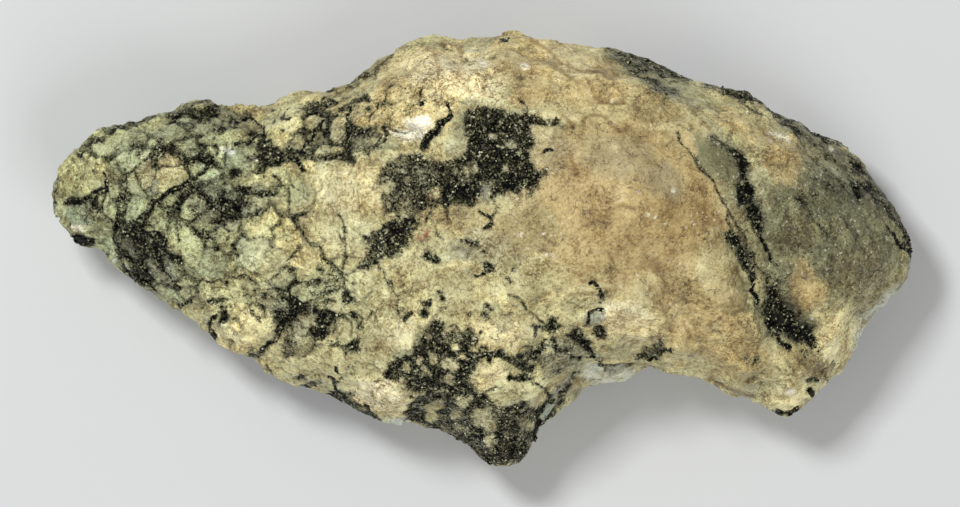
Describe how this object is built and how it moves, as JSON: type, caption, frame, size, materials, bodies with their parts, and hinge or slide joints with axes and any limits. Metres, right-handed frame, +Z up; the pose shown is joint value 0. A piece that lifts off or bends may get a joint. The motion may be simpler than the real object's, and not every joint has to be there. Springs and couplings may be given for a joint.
{
  "type": "native silver ore specimen",
  "caption": "Broken lump of pale calcite vein rock veined with tarnished native silver, lying on a small flat spot of its back.",
  "frame": {"origin": "on the flat spot that the stone rests on, near the middle of that spot", "axes": "+X along the stone's length, from the narrow arm to the thick end; +Y across it, away from the pointed prong; +Z up from the surface it lies on"},
  "size_m": [0.086, 0.0432, 0.0259],
  "materials": {
    "calcite_ore_stone": "broken granular calcite, cream to tan, with black veins and patches of tarnished silver grains"
  },
  "bodies": {
    "root": {"silver_ore_stone": "calcite_ore_stone"}
  },
  "joints": []
}
